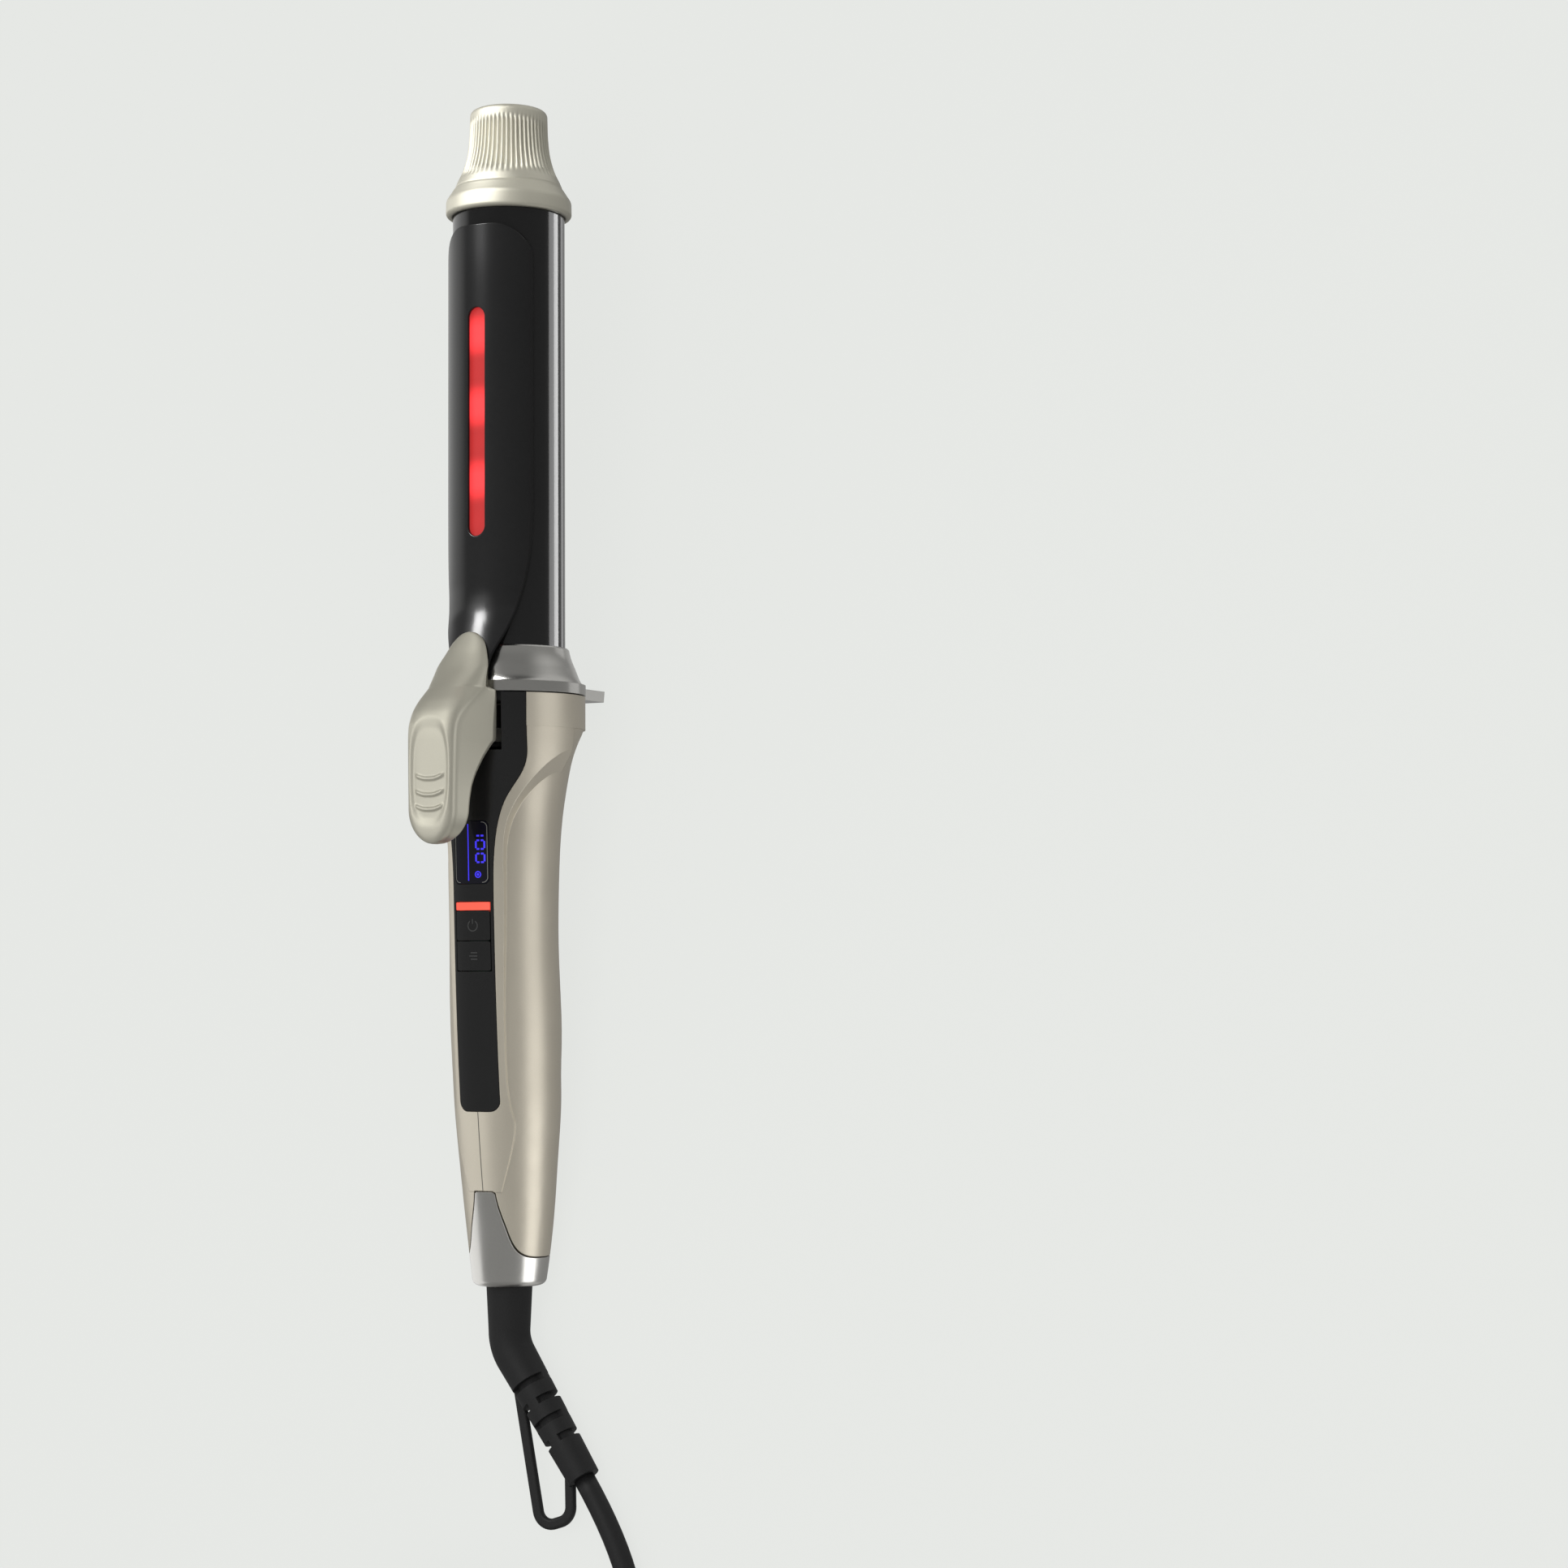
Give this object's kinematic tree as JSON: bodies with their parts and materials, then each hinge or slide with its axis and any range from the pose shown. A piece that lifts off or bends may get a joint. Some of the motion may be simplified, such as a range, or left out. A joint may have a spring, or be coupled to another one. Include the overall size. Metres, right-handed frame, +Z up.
{
  "type": "curling iron",
  "caption": "Curling iron with a round heated barrel, a spring clamp with a light slot and thumb lever, a stand tab, a moulded handle with display panel and keys, and a swivel cord.",
  "frame": {"origin": "middle of the stand tab's foot on the table", "axes": "+X along the iron toward the tip, +Z up, the cord at -X; the iron rests tilted up by 8 degrees"},
  "size_m": [0.5586, 0.1007, 0.0726],
  "materials": {
    "champagne": "satin metallic",
    "black_coat": "gloss black coating",
    "silver": "polished",
    "black_panel": "gloss",
    "dark_glass": "clear, dark tint",
    "red_light": "clear red",
    "emitter": "clear",
    "display_blue": "lit digits on black",
    "black_rubber": "matte",
    "tie_strap": "matte",
    "blade_brass": "plain",
    "steel": "plain",
    "aluminium": "plain",
    "ceramic": "plain",
    "dark_plastic": "heat-proof",
    "board": "coated board",
    "component": "plain",
    "lead": "insulated wire"
  },
  "bodies": {
    "iron": {"barrel_holder": "dark_plastic", "barrel_tube": "black_coat", "board_components": "component", "button_switches": "component", "circuit_board": "board", "clamp_spring": "steel", "contact_rings": "blade_brass", "control_panel": "black_panel", "cool_tip_cap": "champagne", "cord_coil": "black_rubber", "cord_tie": "tie_strap", "display_module": "display_blue", "display_window": "dark_glass", "end_cap": "silver", "handle_left": "champagne", "handle_right": "champagne", "heater_block_left": "aluminium", "heater_block_right": "aluminium", "heater_leads": "lead", "heater_plate": "ceramic", "hinge_bracket": "steel", "hinge_pin": "steel", "light_bar": "red_light", "light_board": "board", "light_emitters": "emitter", "light_window": "red_light", "plug_blades": "blade_brass", "plug_body": "black_rubber", "power_cord": "black_rubber", "stand_collar": "silver", "supply_leads": "lead", "swivel_housing": "dark_plastic", "thermal_fuse": "steel", "tip_insulator": "dark_plastic"},
    "clamp": {"clamp_plate": "black_coat", "clamp_lever": "champagne", "lever_screws": "steel"},
    "power_key": {"power_button": "black_panel"},
    "mode_key": {"mode_button": "black_panel"},
    "swivel": {"cord_bush": "black_rubber", "hang_loop": "black_rubber"}
  },
  "joints": [
    {"name": "clamp_hinge", "type": "hinge", "parent": "iron", "child": "clamp", "pos_m": [-0.01668, 0, 0.05689], "axis": [0, -1, 0], "range_deg": [0, 20], "stiffness_Nm_per_rad": 0.29, "springref_deg": -20.05, "deforming": ["clamp_spring"]},
    {"name": "power_press", "type": "slide", "parent": "iron", "child": "power_key", "axis": [0.1392, 0, -0.9903], "range_m": [0, 0.0006], "stiffness_N_per_m": 2000, "springref_m": -0.0001},
    {"name": "mode_press", "type": "slide", "parent": "iron", "child": "mode_key", "axis": [0.1392, 0, -0.9903], "range_m": [0, 0.0006], "stiffness_N_per_m": 2000, "springref_m": -0.0001},
    {"name": "cord_swivel", "type": "hinge", "parent": "iron", "child": "swivel", "pos_m": [-0.17132, 0, 0.01042], "axis": [-0.9903, 0, -0.1392], "continuous": true, "deforming": ["power_cord"]}
  ]
}
